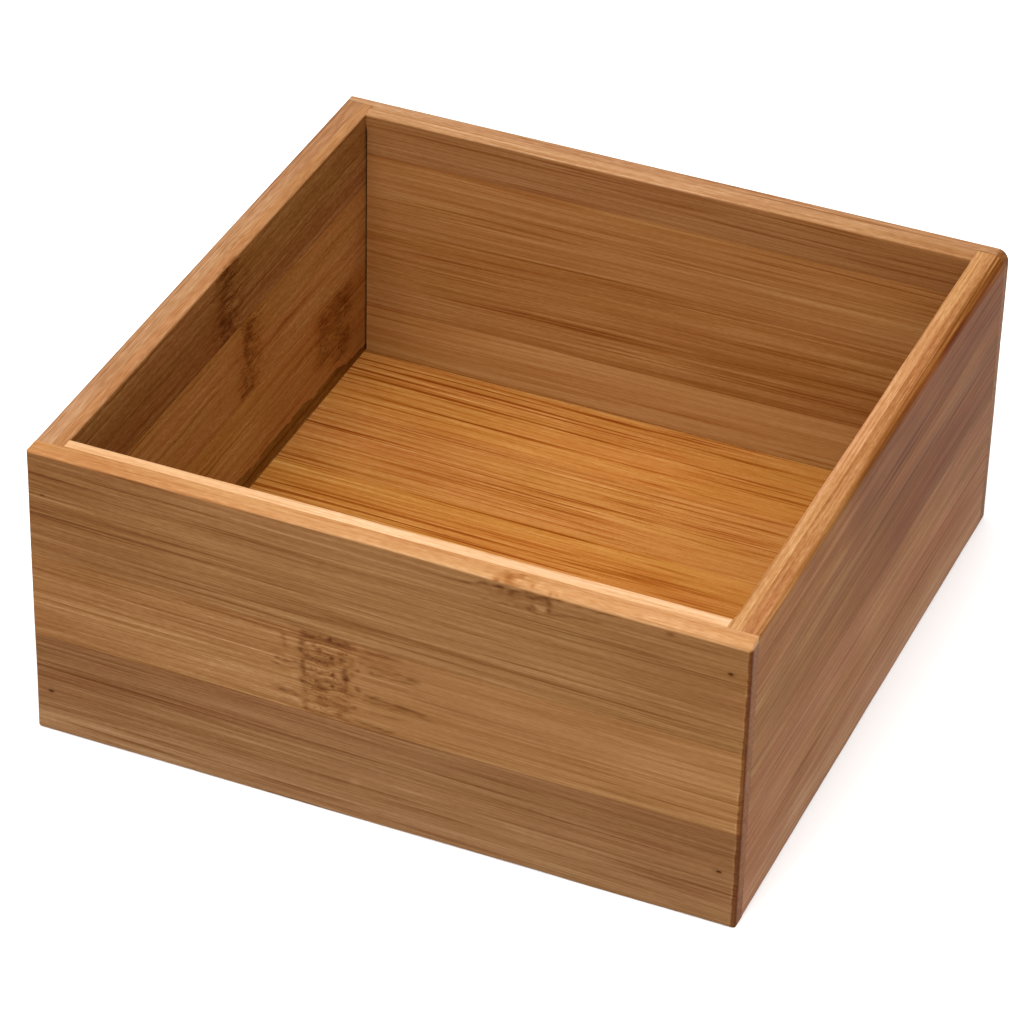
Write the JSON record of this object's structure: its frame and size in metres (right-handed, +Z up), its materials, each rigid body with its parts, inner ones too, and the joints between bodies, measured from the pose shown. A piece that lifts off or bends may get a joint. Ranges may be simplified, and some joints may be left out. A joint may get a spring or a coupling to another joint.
{
  "type": "organizer box",
  "caption": "Open square drawer box of bamboo boards: rebated front and back walls nailed over plain side walls, with a thin floor panel grooved in above the bottom edge.",
  "frame": {"origin": "middle of the box's outline, on the surface that it stands on", "axes": "+Z up, +X left to right along the front board, +Y from the front board to the back board"},
  "size_m": [0.1524, 0.1524, 0.0686],
  "materials": {
    "wall_bamboo": "caramel bamboo under satin lacquer, grain along the board",
    "side_bamboo": "pinkish brown bamboo under satin lacquer, grain along the board",
    "floor_bamboo": "amber bamboo under satin lacquer, fine dark grain lines side to side",
    "brad_steel": "dull dark wire"
  },
  "bodies": {
    "root": {"front_board": "wall_bamboo", "back_board": "wall_bamboo", "left_side_board": "side_bamboo", "right_side_board": "side_bamboo", "floor_panel": "floor_bamboo", "brad_front_left_upper": "brad_steel", "brad_front_left_lower": "brad_steel", "brad_front_right_upper": "brad_steel", "brad_front_right_lower": "brad_steel", "brad_back_left_upper": "brad_steel", "brad_back_left_lower": "brad_steel", "brad_back_right_upper": "brad_steel", "brad_back_right_lower": "brad_steel"}
  },
  "joints": []
}
